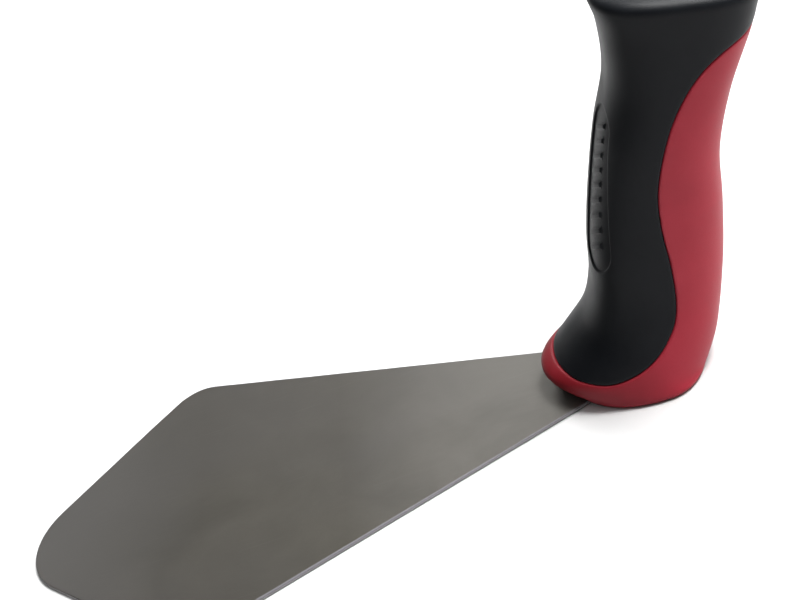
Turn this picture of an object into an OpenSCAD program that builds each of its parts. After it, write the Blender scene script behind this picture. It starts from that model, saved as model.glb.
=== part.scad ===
// Kite-bladed corner trowel with an upright two-colour handle.
// Millimetres. +X runs from the blade's tip towards the handle's back, +Z is up,
// and the origin is on the blade's underside, below the middle of the handle's foot.

/* [Blade] */
// Thickness of the stainless blade
blade_t = 1; // [0.9:0.1:1.6]
// From the origin forward to the point where the blade's front edges would meet
tip_reach = 189; // [160:1:220]
// From the origin forward to the widest line of the blade
shoulder_reach = 133.5; // [110:0.5:145]
// Half of the blade's width before its shoulders are rounded
blade_half_w = 55; // [45:1:65]
// From the origin back to the point where the blade's long edges would meet
heel_reach = 12.5; // [10:0.5:15]
// Radius of the rounded tip
tip_r = 22; // [14:1:26]
// Radius of the rounded shoulders
shoulder_r = 11.5; // [6:0.5:14]
// Radius of the heel, hidden under the foot
heel_r = 4; // [3:0.5:5]

/* [Handle] */
// Height of the butt's rim above the blade's underside
rim_h = 100.5; // [94:0.5:112]
// Width of the grip at its waist
grip_w = 31; // [29:0.5:34]
// Height of the gap between the foot's sole and the surface the blade lies on
foot_gap = 0.3; // [0.2:0.1:0.6]
// Thickness of the soft overmould
skin_t = 2.5; // [1.8:0.1:3]
// Radius of the butt's rim
lip_r = 2.6; // [1.5:0.1:3]
// Height of the butt's crown above its rim radius
crown_h = 3; // [2:0.5:5]

/* [Tang] */
// Thickness of the tang's steel strap
tang_t = 3; // [2:0.5:4]
// Width of the tang's strap
tang_w = 16; // [14:0.5:18]
// Length of the tang's shank inside the grip, above its bend
shank_l = 75; // [50:1:80]
// Lean of the shank away from the tip, in degrees
shank_lean = 15; // [12:1:17]
// Inside radius of the bend
bend_r = 4; // [2:0.5:5]
// Diameter of the holes that the core's plastic fills
anchor_d = 7; // [5:0.5:9]

/* [Rivets] */
// Diameter of a rivet's shank
rivet_d = 4; // [3:0.5:4]
// Diameter of a rivet's heads
rivet_head_d = 6.6; // [6:0.1:7]
// Height of the formed head on top of the strap
rivet_head_h = 1.6; // [1:0.1:2]
// Depth of the countersink in the blade's underside
countersink = 0.7; // [0.5:0.1:0.8]
// Distance between the two front rivets, across the blade
rivet_pitch = 9; // [8:0.5:9]

/* [Hidden] */

// The handle's cross-sections, foot to rim. Each row holds the height and the
// setback of the section's centre, its lean in degrees, how far it reaches
// forward and back of the centre, its half width, and how square it is.
SECTIONS = [
    [0.0, 1.0, 0.0, 24.25, 13.0, 21.5, 2.15],
    [4.0, 0.25, 6.5, 29.25, 15.75, 20.75, 2.05],
    [9.0, 1.0, 6.5, 23.75, 17.75, 19.75, 2.2],
    [16.0, 5.0, 10.5, 19.0, 16.25, 18.25, 2.35],
    [25.0, 8.0, 14.0, 17.25, 16.25, 16.75, 2.45],
    [36.0, 10.5, 18.5, 17.0, 17.0, 16.0, 2.55],
    [50.0, 14.5, 23.0, 16.25, 16.5, 15.5, 2.7],
    [64.0, 18.5, 23.5, 14.75, 15.5, 15.75, 2.75],
    [78.0, 25.25, 20.5, 15.0, 15.0, 16.0, 2.8],
    [91.5, 31.0, 16.0, 18.25, 17.5, 17.0, 2.9],
    [100.5, 32.75, 15.0, 20.5, 20.0, 18.0, 3.05]
];
// Side view of the line where the soft grip meets the core, toe to butt.
PARTING = [
    [-60, 11], [-40, 11], [-26, 10.8], [-20, 9.2], [-12.5, 8], [-5, 9.4], [1, 12.2],
    [5.5, 16.2], [8.5, 20.5], [10.5, 27], [11.7, 36], [12.5, 47], [15, 58], [21.5, 71.2],
    [29.5, 81], [38, 86.3], [50, 88.6], [65, 91], [85, 92]
];
NOMINAL_RIM = 100.5;
NOMINAL_GRIP_W = 31;
LAST = len(SECTIONS) - 1;
BODY_STEPS = 20;
LIP_STEPS = 3;
CROWN_STEPS = 3;
LIP_TURN = 70;
CROWN_LEFT = 0.2;
SECTION_POINTS = 36;
PARTING_STEPS = 3;
SLICE_T = 0.05;
ROOF = 130;
BEND_STEPS = 6;
CORNER_STEPS = 16;
CLEAR = 0.1;
tang_front = -20;
bend_x = -2;
rivet_front_x = -15.5;
rivet_heel_x = -6;
anchor_at = [22, 55];
strap_top = blade_t + tang_t;
shank_dir = [sin(shank_lean), cos(shank_lean)];
bend_centre = [bend_x, strap_top + bend_r];

function unit(v) = v / norm(v);

// A value that runs smoothly through the entries of a list, at place u.
function smooth(list, u) =
    let (
        last = len(list) - 1,
        i = min(floor(u), last - 1),
        f = u - i,
        b = list[i],
        c = list[i + 1],
        a = i > 0 ? list[i - 1] : 2 * b - c,
        d = i + 2 <= last ? list[i + 2] : 2 * c - b
    )
    0.5 * (2 * b + (c - a) * f + (2 * a - 5 * b + 4 * c - d) * f * f
        + (3 * b - a - 3 * c + d) * f * f * f);

// The handle's section at place u, fitted to the chosen height and width.
function section_row(u) =
    let (row = smooth(SECTIONS, u))
    [
        foot_gap + row[0] * (rim_h - foot_gap) / NOMINAL_RIM,
        row[1],
        row[2],
        row[3],
        row[4],
        row[5] * grip_w / NOMINAL_GRIP_W,
        row[6]
    ];

// Distance from the centre to a unit superellipse, in the direction turn.
function squircle(turn, power) =
    pow(pow(abs(cos(turn)), power) + pow(abs(sin(turn)), power), -1 / power);

// Outline of one section, pulled in by inset and scaled by shrink.
function section_outline(row, inset, shrink) = [
    for (k = [0:SECTION_POINTS - 1])
        let (
            turn = 360 * (k + 0.5) / SECTION_POINTS,
            r = squircle(turn, row[6]) * shrink,
            reach = cos(turn) < 0 ? row[3] : row[4]
        )
        [r * cos(turn) * (reach - inset), r * sin(turn) * (row[5] - inset)]
];

// Points of the arc that rounds a corner between the corners before and after it.
function rounded_corner(corner, before, after, r) =
    let (
        a = unit(before - corner),
        b = unit(after - corner),
        half = acos(a * b) / 2,
        centre = corner + unit(a + b) * r / sin(half),
        start = corner + a * r / tan(half) - centre,
        sweep = 180 - 2 * half
    )
    [
        for (k = [0:CORNER_STEPS])
            let (turn = sweep * k / CORNER_STEPS)
            centre + [
                start[0] * cos(turn) - start[1] * sin(turn),
                start[0] * sin(turn) + start[1] * cos(turn)
            ]
    ];

// The blade's corners, anticlockwise from the tip, each with its radius.
function blade_corners() = [
    [[-tip_reach, 0], tip_r],
    [[-shoulder_reach, -blade_half_w], shoulder_r],
    [[heel_reach, 0], heel_r],
    [[-shoulder_reach, blade_half_w], shoulder_r]
];

module blade_outline() {
    corners = blade_corners();
    count = len(corners);
    polygon([
        for (i = [0:count - 1])
            let (
                before = corners[(i + count - 1) % count][0],
                after = corners[(i + 1) % count][0]
            )
            each rounded_corner(corners[i][0], before, after, corners[i][1])
    ]);
}

module at_rivets() {
    for (place = rivet_places())
        translate(place)
            children();
}

function rivet_places() = [
    [rivet_front_x, -rivet_pitch / 2, 0],
    [rivet_front_x, rivet_pitch / 2, 0],
    [rivet_heel_x, 0, 0]
];

module blade() {
    color([0.62, 0.61, 0.58])
        difference() {
            linear_extrude(blade_t)
                blade_outline();
            at_rivets()
                rivet_bore(0);
        }
}

// The space that one rivet fills in the blade and the strap.
module rivet_bore(grow) {
    translate([0, 0, -grow])
        cylinder(h = strap_top + 2 * grow, d = rivet_d, $fn = 48);
    cylinder(h = countersink, d1 = rivet_head_d, d2 = rivet_d, $fn = 48);
}

module rivet(place) {
    color([0.72, 0.71, 0.69])
        translate(place) {
            rivet_bore(0);
            translate([0, 0, strap_top])
                cylinder(h = rivet_head_h, d = rivet_head_d, $fn = 48);
        }
}

module rivet_front_near() {
    rivet(rivet_places()[0]);
}

module rivet_front_far() {
    rivet(rivet_places()[1]);
}

module rivet_heel() {
    rivet(rivet_places()[2]);
}

// Side view of the strap: flat under the foot, then bent up into the shank.
function bend_arc(r, from, to) = [
    for (k = [0:BEND_STEPS])
        let (turn = from + (to - from) * k / BEND_STEPS)
        bend_centre + r * [cos(turn), sin(turn)]
];

function tang_profile() =
    let (
        outer = bend_arc(bend_r + tang_t, -90, -shank_lean),
        inner = bend_arc(bend_r, -shank_lean, -90),
        rise = shank_l * shank_dir
    )
    concat(
        [[tang_front, blade_t]],
        outer,
        [outer[BEND_STEPS] + rise, inner[0] + rise],
        inner,
        [[tang_front, strap_top]]
    );

module tang_blank() {
    translate([0, tang_w / 2, 0])
        rotate([90, 0, 0])
            linear_extrude(tang_w)
                polygon(tang_profile());
}

// Holes through the shank that lock it in the core.
module anchor_holes() {
    mid = bend_r + tang_t / 2;
    start = bend_centre + mid * [cos(shank_lean), -sin(shank_lean)];
    for (along = anchor_at) {
        place = start + along * shank_dir;
        translate([place[0], 0, place[1]])
            rotate([0, 90 + shank_lean, 0])
                cylinder(h = 2 * tang_t, d = anchor_d, center = true, $fn = 48);
    }
}

module tang() {
    color([0.5, 0.5, 0.5])
        difference() {
            tang_blank();
            anchor_holes();
            at_rivets()
                rivet_bore(CLEAR);
        }
}

// One section of the handle as a thin plate, lifted along its own axis by rise.
module slice(row, inset, rise, shrink) {
    translate([row[1], 0, row[0]])
        rotate([0, row[2], 0])
            translate([0, 0, rise])
                linear_extrude(SLICE_T)
                    polygon(section_outline(row, inset, shrink));
}

// The handle's whole outside, or the same shape pulled in by inset.
module handle_form(inset) {
    rim = section_row(LAST);
    for (i = [0:BODY_STEPS - 1])
        hull() {
            slice(section_row(i * LAST / BODY_STEPS), inset, 0, 1);
            slice(section_row((i + 1) * LAST / BODY_STEPS), inset, 0, 1);
        }
    for (i = [0:LIP_STEPS - 1])
        hull()
            for (turn = [i, i + 1] * LIP_TURN / LIP_STEPS)
                slice(rim, inset + lip_r * (1 - cos(turn)), lip_r * sin(turn) - inset, 1);
    for (i = [0:CROWN_STEPS - 1])
        hull()
            for (left = [i, i + 1] * (1 - CROWN_LEFT) / CROWN_STEPS) {
                rise = lip_r * sin(LIP_TURN) + crown_h * (1 - pow(1 - left, 2)) - inset;
                slice(rim, inset + lip_r * (1 - cos(LIP_TURN)), rise, 1 - left);
            }
}

// Everything on the soft grip's side of the parting line, seen from the side.
module grip_side() {
    last = len(PARTING) - 1;
    line = [for (k = [0:last * PARTING_STEPS]) smooth(PARTING, k / PARTING_STEPS)];
    lift = rim_h / NOMINAL_RIM;
    translate([0, blade_half_w, 0])
        rotate([90, 0, 0])
            linear_extrude(2 * blade_half_w)
                polygon(concat(
                    [for (p = line) [p[0], p[1] * lift]],
                    [[PARTING[last][0], ROOF], [PARTING[0][0], ROOF]]
                ));
}

module handle_core() {
    color([0.68, 0.1, 0.14])
        difference() {
            handle_form(0);
            difference() {
                grip_side();
                handle_form(skin_t);
            }
            tang_with_core_in_its_holes();
            blade_seat();
            rivet_head_seats();
        }
}

// The shallow seat in the foot's sole that takes the blade's heel.
module blade_seat() {
    translate([0, 0, -blade_t])
        linear_extrude(2 * blade_t + CLEAR)
            blade_outline();
}

module rivet_head_seats() {
    at_rivets()
        translate([0, 0, strap_top - CLEAR])
            cylinder(h = rivet_head_h + 2 * CLEAR, d = rivet_head_d + 2 * CLEAR, $fn = 48);
}

module tang_with_core_in_its_holes() {
    difference() {
        tang_blank();
        anchor_holes();
    }
}

module grip_overmould() {
    color([0.12, 0.12, 0.13])
        difference() {
            intersection() {
                handle_form(0);
                grip_side();
            }
            handle_form(skin_t);
        }
}

blade();
tang();
rivet_front_near();
rivet_front_far();
rivet_heel();
handle_core();
grip_overmould();
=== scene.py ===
"""Looks for the kite-bladed corner trowel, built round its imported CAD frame.

Lengths are in millimetres until a mesh is made, and metres from there on. The
handle's sections and parting line are the part's own design values, so the
detailed handle lies on the CAD one.
"""

import math

import bmesh
import bpy
import numpy as np
from mathutils import Matrix, Vector
from mathutils.geometry import delaunay_2d_cdt


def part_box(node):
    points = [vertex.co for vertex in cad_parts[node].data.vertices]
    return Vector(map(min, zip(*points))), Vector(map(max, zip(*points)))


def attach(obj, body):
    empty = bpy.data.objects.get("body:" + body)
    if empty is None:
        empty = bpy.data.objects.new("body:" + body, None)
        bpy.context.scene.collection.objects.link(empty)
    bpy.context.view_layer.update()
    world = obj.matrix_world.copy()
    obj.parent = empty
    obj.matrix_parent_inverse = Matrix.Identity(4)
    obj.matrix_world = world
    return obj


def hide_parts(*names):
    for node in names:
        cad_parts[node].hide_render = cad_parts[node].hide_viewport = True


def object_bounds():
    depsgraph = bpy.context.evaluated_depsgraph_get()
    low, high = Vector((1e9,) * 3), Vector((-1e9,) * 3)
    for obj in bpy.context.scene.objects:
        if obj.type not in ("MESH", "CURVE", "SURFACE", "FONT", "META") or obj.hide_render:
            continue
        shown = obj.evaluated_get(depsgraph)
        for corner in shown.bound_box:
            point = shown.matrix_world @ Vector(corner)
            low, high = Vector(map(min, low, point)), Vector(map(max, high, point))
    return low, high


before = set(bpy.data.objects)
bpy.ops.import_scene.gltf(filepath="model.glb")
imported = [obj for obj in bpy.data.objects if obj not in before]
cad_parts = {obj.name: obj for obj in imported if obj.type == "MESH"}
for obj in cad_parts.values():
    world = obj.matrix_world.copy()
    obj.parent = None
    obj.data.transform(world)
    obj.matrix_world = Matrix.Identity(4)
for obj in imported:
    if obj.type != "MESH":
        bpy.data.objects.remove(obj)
cad_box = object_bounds()

MM = 0.001

# ---------------------------------------------------------------- design values

BLADE_T = (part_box("blade")[1].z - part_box("blade")[0].z) / MM
FOOT_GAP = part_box("handle_core")[0].z / MM
TIP_REACH = 189.0
SHOULDER_REACH = 133.5
BLADE_HALF_W = 55.0
HEEL_REACH = 12.5
TIP_R = 22.0
SHOULDER_R = 11.5
HEEL_R = 4.0

# The grind along the blade's top edge: its width and its drop where it is least,
# at the heel and round the tip, and where it is most, at the shoulders. The span
# gives places along X and how far towards the most the grind is there.
GRIND_LEAST = (0.2, 0.25)
GRIND_MOST = (0.55, 0.5)
GRIND_SPAN = ([-SHOULDER_REACH - 14, -SHOULDER_REACH - 2, HEEL_REACH], [0, 1, 0])
# Its unevenness: each wave's share, radians per millimetre, and start.
GRIND_WAVES = [(0.05, 0.31, 0.0), (0.04, 0.83, 1.0)]
GRIND_POINTS_EVERY = 4.0
# Its soft turns: how far the lower one reaches each way, and for the upper one,
# points past the grind's width and below the top face.
GRIND_FOOT = 0.03
GRIND_HEAD = [(-0.05, 0.05), (0.05, 0.008), (0.16, 0.0)]
# The bottom edge's bevel, and how far out its middle lies as a share of it.
BEVEL = 0.1
BEVEL_MIDDLE = 0.3

# The rivet holes: their places and diameter, the diameter and depth of their
# countersinks, and the slack round the rivets.
RIVETS = [(-15.5, -4.5), (-15.5, 4.5), (-6.0, 0.0)]
RIVET_D = 4.0
RIVET_HEAD_D = 6.6
COUNTERSINK = 0.7
HOLE_SLACK = 0.03

# The rounding at the sole, and at the butt's rim with how far round it turns
# before the crown starts, and the crown's height.
SOLE_R = 0.9
LIP_R = 2.6
LIP_TURN = math.radians(70)
CROWN_H = 3.0
# What is left of a section's size where the sole or the crown ends in its middle.
POLE = 0.03

# Foot to rim: height and setback of each section's centre, its lean in degrees,
# its reach forward and back, its half width, and how square it is.
SECTIONS = np.array([
    [SOLE_R, 1.0, 0.0, 24.25, 13.0, 21.5, 2.15],
    [4.0, 0.25, 6.5, 29.25, 15.75, 20.75, 2.05],
    [9.0, 1.0, 6.5, 23.75, 17.75, 19.75, 2.2],
    [16.0, 5.0, 10.5, 19.0, 16.25, 18.25, 2.35],
    [25.0, 8.0, 14.0, 17.25, 16.25, 16.75, 2.45],
    [36.0, 10.5, 18.5, 17.0, 17.0, 16.0, 2.55],
    [50.0, 14.5, 23.0, 16.25, 16.5, 15.5, 2.7],
    [64.0, 18.5, 23.5, 14.75, 15.5, 15.75, 2.75],
    [78.0, 25.25, 20.5, 15.0, 15.0, 16.0, 2.8],
    [91.5, 31.0, 16.0, 18.25, 17.5, 17.0, 2.9],
    [100.5, 32.75, 15.0, 20.5, 20.0, 18.0, 3.05],
])
RIM = len(SECTIONS) - 1.0

# Side view of the line where the soft grip meets the core, toe to butt.
PARTING = np.array([
    [-60, 11], [-40, 11], [-26, 10.8], [-20, 9.2], [-12.5, 8], [-5, 9.4], [1, 12.2],
    [5.5, 16.2], [8.5, 20.5], [10.5, 27], [11.7, 36], [12.5, 47], [15, 58], [21.5, 71.2],
    [29.5, 81], [38, 86.3], [50, 88.6], [65, 91], [85, 92],
])
# How deep the core lies under the grip, and the grip's thickness.
CORE_UNDER_GRIP = 2.3
GRIP_T = 2.0
# The grip's skin starts this far past the parting line, on the groove's slope.
GRIP_START = 0.05

# The recessed panel on the grip: its middle's height and angle round from the
# front, its tilt, its length and width, and the slanted ribs in it.
PANEL_Z = 51.5
PANEL_TURN = math.radians(17)
PANEL_TILT = math.radians(5.5)
PANEL_L = 43.0
PANEL_W = 12.4
RIBS = 9
RIB_PITCH = 3.9
RIB_SLANT = 0.45
RIB_HALF = (0.62, 3.1)

# Cross profiles: distances from the parting line or outside an outline, and the
# depth, or for a rib the height, that the surface has there.
GROOVE = ([0, 0.1, 0.25, 0.5, 0.9], [0.6, 0.32, 0.1, 0.02, 0])
PANEL = ([-0.35, -0.1, 0.0, 0.1, 0.3], [0.5, 0.5, 0.16, 0.04, 0])
RIB = ([-0.18, 0.0, 0.15], [0.36, 0.288, 0])

# ---------------------------------------------------------------- the handle's form


def catmull(table, u):
    """Rows that run smoothly through the table's rows, at places u."""
    last = len(table) - 1
    i = np.clip(np.floor(u).astype(int), 0, last - 1)
    f = (u - i)[..., None]
    b, c = table[i], table[i + 1]
    a = np.where(i[..., None] > 0, table[np.maximum(i - 1, 0)], 2 * b - c)
    d = np.where(i[..., None] < last - 1, table[np.minimum(i + 2, last)], 2 * c - b)
    return 0.5 * (
        2 * b
        + (c - a) * f
        + (2 * a - 5 * b + 4 * c - d) * f**2
        + (3 * b - a - 3 * c + d) * f**3
    )


def handle(u, v):
    """Points on the handle's outside, in millimetres.

    u is 0 at the sole's rounded edge and RIM at the butt's rim; one more unit
    each way rounds the edge over, and a second one closes the end. v is the
    angle round the section: 0 at the back, pi at the front.
    """
    u, v = np.broadcast_arrays(np.asarray(u, float), np.asarray(v, float))
    rows = catmull(SECTIONS, np.clip(u, 0, RIM))
    z, x, lean, front, back, half, power = np.moveaxis(rows, -1, 0)
    z = FOOT_GAP + z * (SECTIONS[-1, 0] - FOOT_GAP) / SECTIONS[-1, 0]
    lean = np.radians(lean)

    sole = np.clip(-u, 0, 1) * math.pi / 2
    lip = np.clip(u - RIM, 0, 1) * LIP_TURN
    inset = SOLE_R * (1 - np.cos(sole)) + LIP_R * (1 - np.cos(lip))
    rise = LIP_R * np.sin(lip) - SOLE_R * np.sin(sole)
    closing = np.clip(np.maximum(-u - 1, u - RIM - 1), 0, 1) * (1 - POLE)
    shrink = 1 - closing
    rise = rise + np.where(u > RIM, CROWN_H * (1 - shrink**2), 0)

    r = (np.abs(np.cos(v)) ** power + np.abs(np.sin(v)) ** power) ** (-1 / power)
    reach = np.where(np.cos(v) < 0, front, back) - inset
    along = r * np.cos(v) * reach * shrink
    across = r * np.sin(v) * (half - inset) * shrink
    return np.stack([
        x + along * np.cos(lean) + rise * np.sin(lean),
        across,
        z - along * np.sin(lean) + rise * np.cos(lean),
    ], -1)


def handle_normal(u, v):
    """Unit normals that point out of the handle."""
    step = 1e-3
    up = handle(u + step, v) - handle(u - step, v)
    around = handle(u, v + step) - handle(u, v - step)
    n = np.cross(around, up)
    return n / np.maximum(np.linalg.norm(n, axis=-1, keepdims=True), 1e-12)


# A flat map of the handle, in millimetres: q runs once round, and p runs from the
# sole's middle to the crown's middle, as long as the mean of some lines up it.
GIRTH = 100.0
LINES = 17
LINE_POINTS = 400
U_STOPS = np.linspace(-2, RIM + 2, LINE_POINTS)
LINES_UP = handle(U_STOPS[:, None], np.linspace(0, 2 * math.pi, LINES))
STEPS_UP = np.linalg.norm(np.diff(LINES_UP, axis=0), axis=-1).mean(-1)
P_STOPS = np.concatenate([[0], np.cumsum(STEPS_UP)])
P_END = P_STOPS[-1]


def unmap(p, q):
    """The handle's u and v at a place on the flat map."""
    return np.interp(p, P_STOPS, U_STOPS), q * 2 * math.pi / GIRTH


# ---------------------------------------------------------------- its features

PARTING_LINE = catmull(PARTING, np.linspace(0, len(PARTING) - 1, LINE_POINTS))
POINTS_AT_ONCE = 4000


def from_parting(p, q):
    """Distance from the parting line in the side view, positive on the grip's side."""
    side = handle(*unmap(p, q))[..., [0, 2]]
    flat = side.reshape(-1, 2)
    out = np.empty(len(flat))
    a, b = PARTING_LINE[:-1], PARTING_LINE[1:]
    run = b - a
    for i in range(0, len(flat), POINTS_AT_ONCE):
        rel = flat[i:i + POINTS_AT_ONCE, None] - a
        t = np.clip((rel * run).sum(-1) / (run**2).sum(-1), 0, 1)
        gap = np.linalg.norm(rel - t[..., None] * run, axis=-1)
        k = gap.argmin(1)
        row = np.arange(len(k))
        turn = run[k, 0] * rel[row, k, 1] - run[k, 1] * rel[row, k, 0]
        out[i:i + POINTS_AT_ONCE] = gap[row, k] * np.where(turn >= 0, 1, -1)
    return out.reshape(side.shape[:-1])


PANEL_U = np.interp(PANEL_Z, SECTIONS[:, 0], np.arange(RIM + 1))
PANEL_P = np.interp(PANEL_U, U_STOPS, P_STOPS)
PANEL_Q = GIRTH / 2 + PANEL_TURN * GIRTH / (2 * math.pi)


def on_panel(p, q):
    """Distances along and across the panel from its middle."""
    rise, turn = p - PANEL_P, q - PANEL_Q
    c, s = math.cos(PANEL_TILT), math.sin(PANEL_TILT)
    return rise * c - turn * s, turn * c + rise * s


def from_panel(p, q):
    """Distance outside the panel's outline, negative inside it."""
    along, across = on_panel(p, q)
    straight = PANEL_L / 2 - PANEL_W / 2
    over = np.maximum(np.abs(along) - straight, 0)
    return np.hypot(over, across) - PANEL_W / 2


def from_ribs(p, q):
    """Distance outside the nearest slanted rib, negative inside it."""
    along, across = on_panel(p, q)
    lead = along - RIB_SLANT * across
    centre = np.clip(np.round(lead / RIB_PITCH), -(RIBS // 2), RIBS // 2) * RIB_PITCH
    dx = np.abs(lead - centre) - RIB_HALF[0]
    dy = np.abs(across) - RIB_HALF[1]
    outside = np.hypot(np.maximum(dx, 0), np.maximum(dy, 0))
    return outside + np.minimum(np.maximum(dx, dy), 0)


def panel_depth(p, q):
    """How deep the panel is at a place, less the height of a rib there."""
    outside = from_panel(p, q)
    rib = np.interp(from_ribs(p, q), *RIB)
    return np.interp(outside, *PANEL) - np.where(outside < PANEL[0][0], rib, 0)


# ---------------------------------------------------------------- its mesh

# Distances at which the mesh has a line of points along each feature, and how far
# from those lines the plain points between them stay.
PARTING_ROWS = sorted({side * stop for stop in GROOVE[0] for side in (-1, 1)})
PANEL_ROWS = PANEL[0][::-1]
RIB_ROWS = RIB[0][::-1]
CLEAR_OF_PARTING = 0.3
CLEAR_OF_PANEL = 0.2
CLEAR_OF_RIBS = 0.15

# Spacings: of the plain points, whose rows shift to and fro by this share of it,
# and of the grids that trace the parting line and the panel, with the margin of
# the panel's grid.
POINT_STEP = 0.8
STAGGER = 0.25
PARTING_STEP = 0.45
PANEL_STEP = 0.22
PANEL_MARGIN = 2.0

# Points this close are one point, the tolerance of the triangle cutter, and what
# stands for a distance of exactly nothing.
WELD = 0.002
CUT_EPSILON = 1e-5
TINY = 1e-9
# The triangle cutter's ways: keep the whole hull, or only what the edges enclose.
WHOLE_HULL = 0
ENCLOSED = 1


def contour(field, level, p_stops, q_stops):
    """Points and edges of the line where the field has that level on the map."""
    pp, qq = np.meshgrid(p_stops, q_stops, indexing="ij")
    f = field - level
    f = np.where(f == 0, TINY, f)
    points, edges, seen = [], [], {}

    def crossing(a, b):
        key = (a, b)
        if key not in seen:
            t = f[a] / (f[a] - f[b])
            seen[key] = len(points)
            points.append((pp[a] + (pp[b] - pp[a]) * t, qq[a] + (qq[b] - qq[a]) * t))
        return seen[key]

    sign = f > 0
    above = sign[:-1, :-1].astype(int) + sign[1:, :-1] + sign[:-1, 1:] + sign[1:, 1:]
    for i, j in zip(*np.nonzero((above > 0) & (above < 4))):
        sides = [((i, j), (i + 1, j)), ((i + 1, j), (i + 1, j + 1)),
                 ((i, j + 1), (i + 1, j + 1)), ((i, j), (i, j + 1))]
        hits = [crossing(a, b) for a, b in sides if sign[a] != sign[b]]
        edges += [tuple(hits[k:k + 2]) for k in range(0, len(hits), 2)]
    return points, edges


def stops(end, step):
    """Even stops from 0 to the end, about a step apart."""
    return np.linspace(0, end, int(end / step) + 1)


def around_panel(middle, length):
    """Fine stops over a length about the panel's middle, and its margins."""
    reach = length / 2 + PANEL_MARGIN
    return np.arange(middle - reach, middle + reach, PANEL_STEP)


def clear_of(distance, rows, gap):
    """Where a place is further than the gap from every row of a feature."""
    return np.min([np.abs(distance - row) for row in rows], 0) > gap


def plain_points():
    """Staggered rows of points all over the map, clear of every feature's rows."""
    p_stops, q_stops = stops(P_END, POINT_STEP), stops(GIRTH, POINT_STEP)
    pp, qq = np.meshgrid(p_stops, q_stops, indexing="ij")
    off_seam = (qq > 0) & (qq < GIRTH)
    odd = np.arange(len(p_stops))[:, None] % 2 == 1
    qq = qq + np.where(odd, STAGGER, -STAGGER) * POINT_STEP * off_seam

    panel = from_panel(pp, qq)
    clear = clear_of(from_parting(pp, qq), PARTING_ROWS, CLEAR_OF_PARTING)
    clear &= clear_of(panel, PANEL_ROWS, CLEAR_OF_PANEL)
    clear &= (panel >= 0) | clear_of(from_ribs(pp, qq), RIB_ROWS, CLEAR_OF_RIBS)
    return zip(pp[clear], qq[clear])


def map_mesh():
    """The flat map cut into triangles that follow every feature's outline."""
    points, edges = [], []

    def add(new_points, new_edges):
        start = len(points)
        points.extend(new_points)
        edges.extend((a + start, b + start) for a, b in new_edges)

    fine = stops(P_END, PARTING_STEP), stops(GIRTH, PARTING_STEP)
    field = from_parting(*np.meshgrid(*fine, indexing="ij"))
    for level in PARTING_ROWS:
        add(*contour(field, level, *fine))

    near = around_panel(PANEL_P, PANEL_L), around_panel(PANEL_Q, PANEL_W)
    near_grid = np.meshgrid(*near, indexing="ij")
    for distance, rows in ((from_panel, PANEL_ROWS), (from_ribs, RIB_ROWS)):
        for level in rows:
            add(*contour(distance(*near_grid), level, *near))

    add(plain_points(), [])
    corners = [(0, 0), (P_END, 0), (P_END, GIRTH), (0, GIRTH)]
    add(corners, [(0, 1), (1, 2), (2, 3), (3, 0)])
    out = delaunay_2d_cdt([Vector(c) for c in points], edges, [], WHOLE_HULL, CUT_EPSILON)
    return np.array([tuple(c) for c in out[0]]), np.array([tuple(f) for f in out[2]])


def scene_object(name, data):
    obj = bpy.data.objects.new(name, data)
    bpy.context.scene.collection.objects.link(obj)
    return obj


def mesh_object(name, points, faces):
    """A smooth closed mesh object from millimetre points, with doubled points welded."""
    bm = bmesh.new()
    verts = [bm.verts.new(Vector(c) * MM) for c in points]
    for face in faces:
        bm.faces.new([verts[i] for i in face])
    bmesh.ops.remove_doubles(bm, verts=bm.verts, dist=WELD * MM)
    bmesh.ops.dissolve_degenerate(bm, dist=WELD * MM, edges=bm.edges)
    bmesh.ops.holes_fill(bm, edges=[e for e in bm.edges if e.is_boundary], sides=0)
    loose = [v for v in bm.verts if not v.link_faces]
    bmesh.ops.delete(bm, geom=loose, context="VERTS")
    bmesh.ops.recalc_face_normals(bm, faces=bm.faces)
    mesh = bpy.data.meshes.new(name)
    bm.to_mesh(mesh)
    bm.free()
    mesh.shade_smooth()
    return scene_object(name, mesh)


def handle_pieces():
    """The core, sunk where the grip covers it, and the grip as a closed skin."""
    flat, faces = map_mesh()
    p, q = flat.T
    u, v = unmap(p, q)
    surface = handle(u, v)
    normal = handle_normal(u, v)
    distance = from_parting(p, q)
    groove = np.interp(np.abs(distance), *GROOVE)

    def sunk(depth):
        return surface - normal * depth[:, None]

    def under_grip(depth):
        return sunk(np.where(distance > GRIP_START, depth, groove))

    core = mesh_object("core_moulding", under_grip(CORE_UNDER_GRIP), faces)

    outer = sunk(groove + panel_depth(p, q))
    inner = under_grip(GRIP_T)
    on_grip = from_parting(*flat[faces].mean(1).T) > 0
    used = faces[on_grip]
    grip_faces = np.concatenate([used, used[:, ::-1] + len(flat)])
    grip = mesh_object("soft_grip", np.concatenate([outer, inner]), grip_faces)
    return core, grip


# ---------------------------------------------------------------- the blade

ARC_STEPS = 24
HOLE_STEPS = 40
# A triangle whose middle is within this share of a hole's radius lies in the hole.
IN_HOLE = 0.995
SHARP_FROM = math.radians(25)


def rounded(corners, radii):
    """Points round a polygon whose corners are arcs, with each point's outward normal."""
    points, normals = [], []
    count = len(corners)
    for i, corner in enumerate(corners):
        a = (corners[i - 1] - corner).normalized()
        b = (corners[(i + 1) % count] - corner).normalized()
        half = a.angle(b) / 2
        centre = corner + (a + b).normalized() * radii[i] / math.sin(half)
        start = corner + a * radii[i] / math.tan(half) - centre
        for k in range(ARC_STEPS + 1):
            arm = Matrix.Rotation((math.pi - 2 * half) * k / ARC_STEPS, 2) @ start
            points.append(centre + arm)
            normals.append(arm.normalized())
    return points, normals


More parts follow.
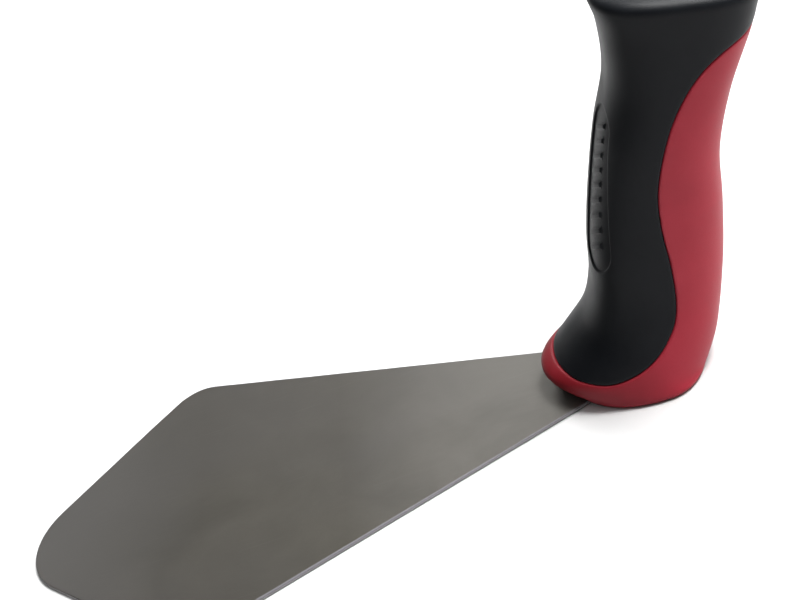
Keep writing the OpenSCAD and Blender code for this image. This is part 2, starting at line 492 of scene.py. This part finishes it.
def blade_path():
    """Points and normals round the blade, close enough for a smooth grind."""
    corners = [Vector(c) for c in (
        (-TIP_REACH, 0), (-SHOULDER_REACH, -BLADE_HALF_W),
        (HEEL_REACH, 0), (-SHOULDER_REACH, BLADE_HALF_W),
    )]
    outline, normals = rounded(corners, [TIP_R, SHOULDER_R, HEEL_R, SHOULDER_R])
    path = []
    for i, (point, normal) in enumerate(zip(outline, normals)):
        after = outline[(i + 1) % len(outline)]
        turn = normals[(i + 1) % len(outline)]
        pieces = max(1, int((after - point).length / GRIND_POINTS_EVERY))
        for k in range(pieces):
            path.append((point.lerp(after, k / pieces), normal.lerp(turn, k / pieces)))
    return path


def edge_profile(x):
    """The blade's edge at x: distances in from its outline, and heights, bottom first."""
    along = np.interp(x, *GRIND_SPAN)
    wave = 1 + sum(share * math.sin(rate * x + at) for share, rate, at in GRIND_WAVES)
    width, drop = (k * wave for k in Vector(GRIND_LEAST).lerp(Vector(GRIND_MOST), along))
    return [
        (BEVEL, 0.0),
        (BEVEL * BEVEL_MIDDLE, BEVEL * BEVEL_MIDDLE),
        (0.0, BEVEL),
        (0.0, BLADE_T - drop - GRIND_FOOT),
        (GRIND_FOOT, BLADE_T - drop + GRIND_FOOT),
        *((width + further, BLADE_T - below) for further, below in GRIND_HEAD),
    ]


def circle(centre, r):
    return [
        (centre[0] + r * math.cos(turn), centre[1] + r * math.sin(turn))
        for turn in np.arange(HOLE_STEPS) * 2 * math.pi / HOLE_STEPS
    ]


def sheet_face(outline, holes, z):
    """A flat face at height z, cut into triangles round its holes."""
    flat, edges = [], []
    for loop in [outline, *holes]:
        start = len(flat)
        flat += [Vector(c) for c in loop]
        edges += [(start + k, start + (k + 1) % len(loop)) for k in range(len(loop))]
    out = delaunay_2d_cdt(flat, edges, [], ENCLOSED, CUT_EPSILON)
    centres = [np.mean(hole, 0) for hole in holes]
    radii = [math.dist(hole[0], centre) for hole, centre in zip(holes, centres)]
    kept = []
    for face in out[2]:
        middle = np.mean([out[0][i] for i in face], 0)
        if all(math.dist(middle, c) > r * IN_HOLE for c, r in zip(centres, radii)):
            kept.append(face)
    return [(c[0], c[1], z) for c in out[0]], kept


def blade_piece():
    """The sheet, with its edge ground and its rivet holes countersunk from below."""
    points, faces = [], []

    def add(new_points, new_faces):
        start = len(points)
        points.extend(new_points)
        faces.extend([start + i for i in face] for face in new_faces)

    rings = [
        [(point.x - normal.x * back, point.y - normal.y * back, z)
         for back, z in edge_profile(point.x)]
        for point, normal in blade_path()
    ]
    count, rows = len(rings), len(rings[0])
    add([c for ring in rings for c in ring], [
        (i * rows + k, (i + 1) % count * rows + k,
         (i + 1) % count * rows + k + 1, i * rows + k + 1)
        for i in range(count) for k in range(rows - 1)
    ])

    heads = [circle(c, RIVET_HEAD_D / 2 + HOLE_SLACK) for c in RIVETS]
    shanks = [circle(c, RIVET_D / 2 + HOLE_SLACK) for c in RIVETS]
    add(*sheet_face([ring[-1][:2] for ring in rings], shanks, BLADE_T))
    add(*sheet_face([ring[0][:2] for ring in rings], heads, 0.0))
    for head, shank in zip(heads, shanks):
        levels = ((head, 0.0), (shank, COUNTERSINK), (shank, BLADE_T))
        add([(x, y, z) for loop, z in levels for x, y in loop], [
            (k + row * HOLE_STEPS, (k + 1) % HOLE_STEPS + row * HOLE_STEPS,
             (k + 1) % HOLE_STEPS + (row + 1) * HOLE_STEPS, k + (row + 1) * HOLE_STEPS)
            for row in range(2) for k in range(HOLE_STEPS)
        ])
    blade = mesh_object("blade_sheet", points, faces)
    blade.data.set_sharp_from_angle(angle=SHARP_FROM)
    return blade


# ---------------------------------------------------------------- materials


def rgb(red, green, blue):
    return (red, green, blue, 1.0)


# Colours. A pair is the two ends of one mix.
STEEL = rgb(0.038, 0.035, 0.027), rgb(0.062, 0.057, 0.047)
STEEL_CLOUD = rgb(0.055, 0.052, 0.05)
STEEL_FLECK = rgb(0.035, 0.033, 0.03)
# Painted highlight towards the heel, and painted light towards the tip.
STEEL_HEEL_PAINTED_HIGHLIGHT = rgb(0.126, 0.12, 0.11)
STEEL_TIP_PAINTED_LIGHT = rgb(0.104, 0.1, 0.096)
STEEL_GRIND = rgb(0.12, 0.115, 0.124), rgb(0.155, 0.15, 0.162)
STEEL_SIDE = rgb(0.19, 0.183, 0.185), rgb(0.34, 0.33, 0.335)
TANG_STEEL = (0.35, 0.35, 0.34)
RIVET_STEEL = (0.5, 0.49, 0.47)
RED = rgb(0.28, 0.0155, 0.028), rgb(0.32, 0.021, 0.036)
RED_SPECK = rgb(0.23, 0.012, 0.023)
# Painted shade round the foot.
RED_PAINTED_FOOT_SHADE = rgb(0.12, 0.001, 0.004)
BLACK = rgb(0.0028, 0.0034, 0.0048), rgb(0.0042, 0.005, 0.0066)
BLACK_DUST = rgb(0.012, 0.013, 0.015)
FLOOR = rgb(0.61, 0.61, 0.61), rgb(0.63, 0.63, 0.63)

# Where the steel changes, in millimetres along X: a painted highlight lightens it
# towards the heel, painted light lightens it towards the tip, and its ground edge
# has its own tone from the shoulders back.
HEEL_PAINTED_HIGHLIGHT = (-88, -34)
TIP_PAINTED_LIGHT = (-130, -185)
GRIND_TONE = (-SHOULDER_REACH - 6, -SHOULDER_REACH + 8)
# How upright a normal is where the grind's tone and the side's tone come in.
GRIND_FACING = (0.985, 0.9)
SIDE_FACING = (0.3, 0.2)

# Nearly all of a noise texture's values lie between these.
NOISE_RANGE = (0.3, 0.7)

# The painted shade round the foot, a darker band: heights where it ends and is full,
# how ragged its end is, and the places along X where it starts and is full.
FOOT_SHADE_Z = (26.0, 4.0)
FOOT_SHADE_RAGGED = 3
FOOT_SHADE_X = (4, -28)


class Nodes:
    """Shorthand for building one material's node tree."""

    def __init__(self, name):
        self.material = bpy.data.materials.new(name)
        self.material.use_nodes = True
        self.tree = self.material.node_tree
        self.shader = self.tree.nodes["Principled BSDF"]

    def add(self, kind, inputs=(), **settings):
        node = self.tree.nodes.new(kind)
        for key, value in settings.items():
            setattr(node, key, value)
        for key, value in dict(inputs).items():
            self.plug(value, node.inputs[key])
        return node

    def plug(self, value, socket):
        if isinstance(value, bpy.types.NodeSocket):
            self.tree.links.new(value, socket)
        else:
            socket.default_value = value

    def set(self, inputs):
        for key, value in inputs.items():
            self.plug(value, self.shader.inputs[key])

    def place(self, scale=(1, 1, 1), turn=(0, 0, 0)):
        """Object coordinates in millimetres, scaled and turned."""
        coords = self.add("ShaderNodeTexCoord").outputs["Object"]
        scale = tuple(k / MM for k in scale)
        return self.add(
            "ShaderNodeMapping", {"Vector": coords, "Scale": scale, "Rotation": turn}
        ).outputs[0]

    def axis(self, name, vector=None):
        """One coordinate of a vector, or of the place itself."""
        vector = vector or self.place()
        return self.add("ShaderNodeSeparateXYZ", {"Vector": vector}).outputs[name]

    def noise(self, size, detail=3.0, rough=0.5, distort=0.0, scale=(1, 1, 1),
              turn=(0, 0, 0)):
        """Noise whose features are about size millimetres across."""
        return self.add("ShaderNodeTexNoise", {
            "Vector": self.place(scale, turn), "Scale": 1 / size, "Detail": detail,
            "Roughness": rough, "Distortion": distort,
        }).outputs["Fac"]

    def spread(self, value, low, high, to_low=0.0, to_high=1.0, curve="LINEAR"):
        return self.add("ShaderNodeMapRange", {
            "Value": value, "From Min": low, "From Max": high,
            "To Min": to_low, "To Max": to_high,
        }, interpolation_type=curve).outputs[0]

    def patches(self, size, detail, rough, distort=0.0):
        """Noise stretched to run from 0 to 1."""
        return self.spread(self.noise(size, detail, rough, distort), *NOISE_RANGE)

    def mix(self, amount, a, b):
        node = self.add("ShaderNodeMix", data_type="RGBA")
        self.plug(amount, node.inputs["Factor"])
        for socket, value in zip([k for k in node.inputs if k.type == "RGBA"], (a, b)):
            self.plug(value, socket)
        return next(k for k in node.outputs if k.type == "RGBA")

    def math(self, how, *values):
        node = self.add("ShaderNodeMath", operation=how)
        for value, socket in zip(values, node.inputs):
            self.plug(value, socket)
        return node.outputs[0]

    def plus(self, a, b):
        return self.math("ADD", a, b)

    def times(self, a, b):
        return self.math("MULTIPLY", a, b)

    def painted_foot_shade(self):
        """How far a place is into the painted shade round the foot, deepest at its toe."""
        ragged = self.spread(
            self.noise(9), *NOISE_RANGE, -FOOT_SHADE_RAGGED, FOOT_SHADE_RAGGED
        )
        height = self.plus(self.axis("Z"), ragged)
        low = self.spread(height, *FOOT_SHADE_Z, curve="SMOOTHSTEP")
        return self.times(low, self.spread(self.axis("X"), *FOOT_SHADE_X))

    def bump(self, height, depth):
        """Bump whose full height is depth millimetres."""
        bump = self.add("ShaderNodeBump", {"Height": height, "Distance": depth * MM})
        self.set({"Normal": bump.outputs[0]})


def satin_steel():
    """Rolled stainless sheet: cloudy, dull and part-metallic, with a ground top edge."""
    m = Nodes("satin_stainless")
    blotch = m.patches(26, 4, 0.55, 0.5)
    cloud = m.patches(70, 2, 0.5, 0.3)
    grain = m.noise(0.16, 2, 0.6, scale=(0.05, 1, 1), turn=(0, 0, math.radians(4)))
    fleck = m.noise(0.45, 3, 0.65)
    scratch = m.noise(0.5, 1, 0.5, scale=(0.02, 1, 1), turn=(0, 0, 0.5))
    scratch = m.spread(scratch, 0.66, 0.74)
    along = m.axis("X")

    tone = m.mix(blotch, *STEEL)
    tone = m.mix(m.times(cloud, 0.6), tone, STEEL_CLOUD)
    tone = m.mix(m.spread(fleck, *NOISE_RANGE, 0, 0.25), tone, STEEL_FLECK)
    # Painted highlight: the colour lightens towards the heel, in blotches.
    heel = m.times(m.spread(along, *HEEL_PAINTED_HIGHLIGHT), m.spread(blotch, 0, 1, 0.55, 0.95))
    tone = m.mix(heel, tone, STEEL_HEEL_PAINTED_HIGHLIGHT)
    # Painted light: the colour lightens towards the tip.
    tone = m.mix(m.spread(along, *TIP_PAINTED_LIGHT, 0, 0.8), tone, STEEL_TIP_PAINTED_LIGHT)

    normal = m.add("ShaderNodeNewGeometry").outputs["True Normal"]
    level = m.math("ABSOLUTE", m.axis("Z", normal))
    ground = m.times(m.spread(level, *GRIND_FACING), m.spread(along, *GRIND_TONE))
    tone = m.mix(ground, tone, m.mix(grain, *STEEL_GRIND))
    tone = m.mix(m.spread(level, *SIDE_FACING), tone, m.mix(fleck, *STEEL_SIDE))

    rough = m.plus(m.spread(blotch, 0, 1, 0.57, 0.62), m.spread(grain, 0, 1, -0.03, 0.03))
    rough = m.plus(rough, m.times(scratch, -0.06))
    m.set({
        "Base Color": tone, "Metallic": 0.55, "Roughness": rough,
        "Specular IOR Level": 0.35,
    })
    m.bump(m.plus(grain, m.times(scratch, -0.6)), 0.004)
    return m.material


def plain_steel(name, tone):
    m = Nodes(name)
    cloud = m.noise(5, 4, 0.6)
    m.set({
        "Base Color": m.mix(cloud, rgb(*[k * 0.8 for k in tone]), rgb(*tone)),
        "Metallic": 1.0,
        "Roughness": m.spread(cloud, *NOISE_RANGE, 0.32, 0.5),
    })
    m.bump(m.noise(0.3, 3, 0.6), 0.01)
    return m.material


def red_plastic():
    m = Nodes("matte_red_plastic")
    cloud = m.patches(14, 3, 0.5, 0.4)
    speck = m.spread(m.noise(0.5, 2, 0.6), 0.35, 0.65)
    tone = m.mix(cloud, *RED)
    tone = m.mix(m.times(speck, 0.15), tone, RED_SPECK)
    # Painted shade: the red darkens in a band round the foot, most at its toe.
    tone = m.mix(m.painted_foot_shade(), tone, RED_PAINTED_FOOT_SHADE)
    m.set({
        "Base Color": tone, "Roughness": m.spread(cloud, 0, 1, 0.46, 0.54),
        "Specular IOR Level": 0.2,
    })
    m.bump(m.plus(m.noise(0.22, 3, 0.6), m.times(m.noise(1.2, 2), 0.4)), 0.02)
    return m.material


def black_rubber():
    m = Nodes("soft_black_rubber")
    cloud = m.patches(11, 3, 0.55, 0.5)
    dust = m.spread(m.noise(0.6, 3, 0.7), 0.55, 0.8)
    tone = m.mix(cloud, *BLACK)
    tone = m.mix(m.times(dust, 0.12), tone, BLACK_DUST)
    m.set({
        "Base Color": tone, "Roughness": m.spread(cloud, 0, 1, 0.43, 0.5),
        "Specular IOR Level": 0.13,
    })
    m.bump(m.plus(m.noise(0.18, 3, 0.6), m.times(m.noise(0.9, 2), 0.4)), 0.03)
    return m.material


def pale_floor():
    m = Nodes("pale_floor")
    m.set({
        "Base Color": m.mix(m.noise(90, 2), *FLOOR), "Roughness": 0.9,
        "Specular IOR Level": 0.1,
    })
    return m.material


def dress(obj, material):
    obj.data.materials.clear()
    obj.data.materials.append(material)


# ---------------------------------------------------------------- the whole object


def stand_for(piece, node, material):
    dress(piece, material)
    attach(piece, "root")
    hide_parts(node)


core, grip = handle_pieces()
stand_for(core, "handle_core", red_plastic())
stand_for(grip, "grip_overmould", black_rubber())
stand_for(blade_piece(), "blade", satin_steel())
dress(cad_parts["tang"], plain_steel("rolled_steel", TANG_STEEL))
rivet_steel = plain_steel("rivet_steel", RIVET_STEEL)
for rivet in ("rivet_front_near", "rivet_front_far", "rivet_heel"):
    dress(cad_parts[rivet], rivet_steel)


# ---------------------------------------------------------------- studio

FLOOR_REACH = 4.0
FLOOR_DROP = 0.0002

# The ceiling's glow: sine of the heights where it starts and is full, and its range.
CEILING = {"From Min": 0.6, "From Max": 0.95, "To Min": 0.08, "To Max": 0.8}

# Each softbox's place, target, size and watts: high overhead, close over the butt,
# to the right, and low behind.
TROWEL_MIDDLE = (-0.03, 0, 0.04)
SOFTBOXES = {
    "key": ((1.3, 0.25, 2.75), TROWEL_MIDDLE, (2.0, 1.0), 100),
    "crown": ((0.17, 0.0, 0.36), (0.033, 0, 0.105), (0.26, 0.16), 2.2),
    "right": ((2.4, 0.2, 1.0), TROWEL_MIDDLE, (1.5, 1.6), 14),
    "back": ((-0.12, 0.62, 0.47), (-0.04, 0, 0.02), (0.3, 0.25), 2.4),
}

CAMERA_PLACE = (0.0102, -0.3861, 0.2871)
CAMERA_TARGET = (-0.0675, 0.0656, 0.0)
CAMERA_ROLL = math.radians(-24.2)
CAMERA_LENS = 81
CAMERA_SENSOR = 36


def floor():
    bm = bmesh.new()
    bmesh.ops.create_grid(bm, x_segments=1, y_segments=1, size=FLOOR_REACH)
    mesh = bpy.data.meshes.new("floor")
    bm.to_mesh(mesh)
    bm.free()
    obj = scene_object("floor", mesh)
    obj.location.z = cad_box[0].z - FLOOR_DROP
    dress(obj, pale_floor())


def aim(obj, place, target, roll=0.0):
    """Puts a camera or light at place, looking at target, turned by roll."""
    place, target = Vector(place), Vector(target)
    look = (target - place).to_track_quat("-Z", "Y").to_matrix().to_4x4()
    turn = Matrix.Rotation(roll, 4, "Z")
    obj.matrix_world = Matrix.Translation(place) @ look @ turn


def room():
    """A dim room with a wide bright ceiling."""
    world = bpy.data.worlds.new("studio")
    world.use_nodes = True
    tree = world.node_tree
    background = tree.nodes["Background"]
    direction = tree.nodes.new("ShaderNodeTexCoord").outputs["Generated"]
    split = tree.nodes.new("ShaderNodeSeparateXYZ")
    glow = tree.nodes.new("ShaderNodeMapRange")
    glow.interpolation_type = "SMOOTHSTEP"
    for name, value in CEILING.items():
        glow.inputs[name].default_value = value
    tree.links.new(direction, split.inputs[0])
    tree.links.new(split.outputs["Z"], glow.inputs["Value"])
    tree.links.new(glow.outputs[0], background.inputs["Strength"])
    background.inputs["Color"].default_value = rgb(1.0, 1.0, 1.0)
    bpy.context.scene.world = world


def softboxes():
    for name, (place, target, size, watts) in SOFTBOXES.items():
        light = bpy.data.lights.new(name, "AREA")
        light.shape = "RECTANGLE"
        light.size, light.size_y = size
        light.energy = watts
        aim(scene_object(name, light), place, target)


def camera():
    data = bpy.data.cameras.new("camera")
    data.lens = CAMERA_LENS
    data.sensor_width = CAMERA_SENSOR
    obj = scene_object("camera", data)
    aim(obj, CAMERA_PLACE, CAMERA_TARGET, CAMERA_ROLL)
    bpy.context.scene.camera = obj


bpy.context.scene.view_settings.view_transform = "Standard"
floor()
room()
softboxes()
camera()
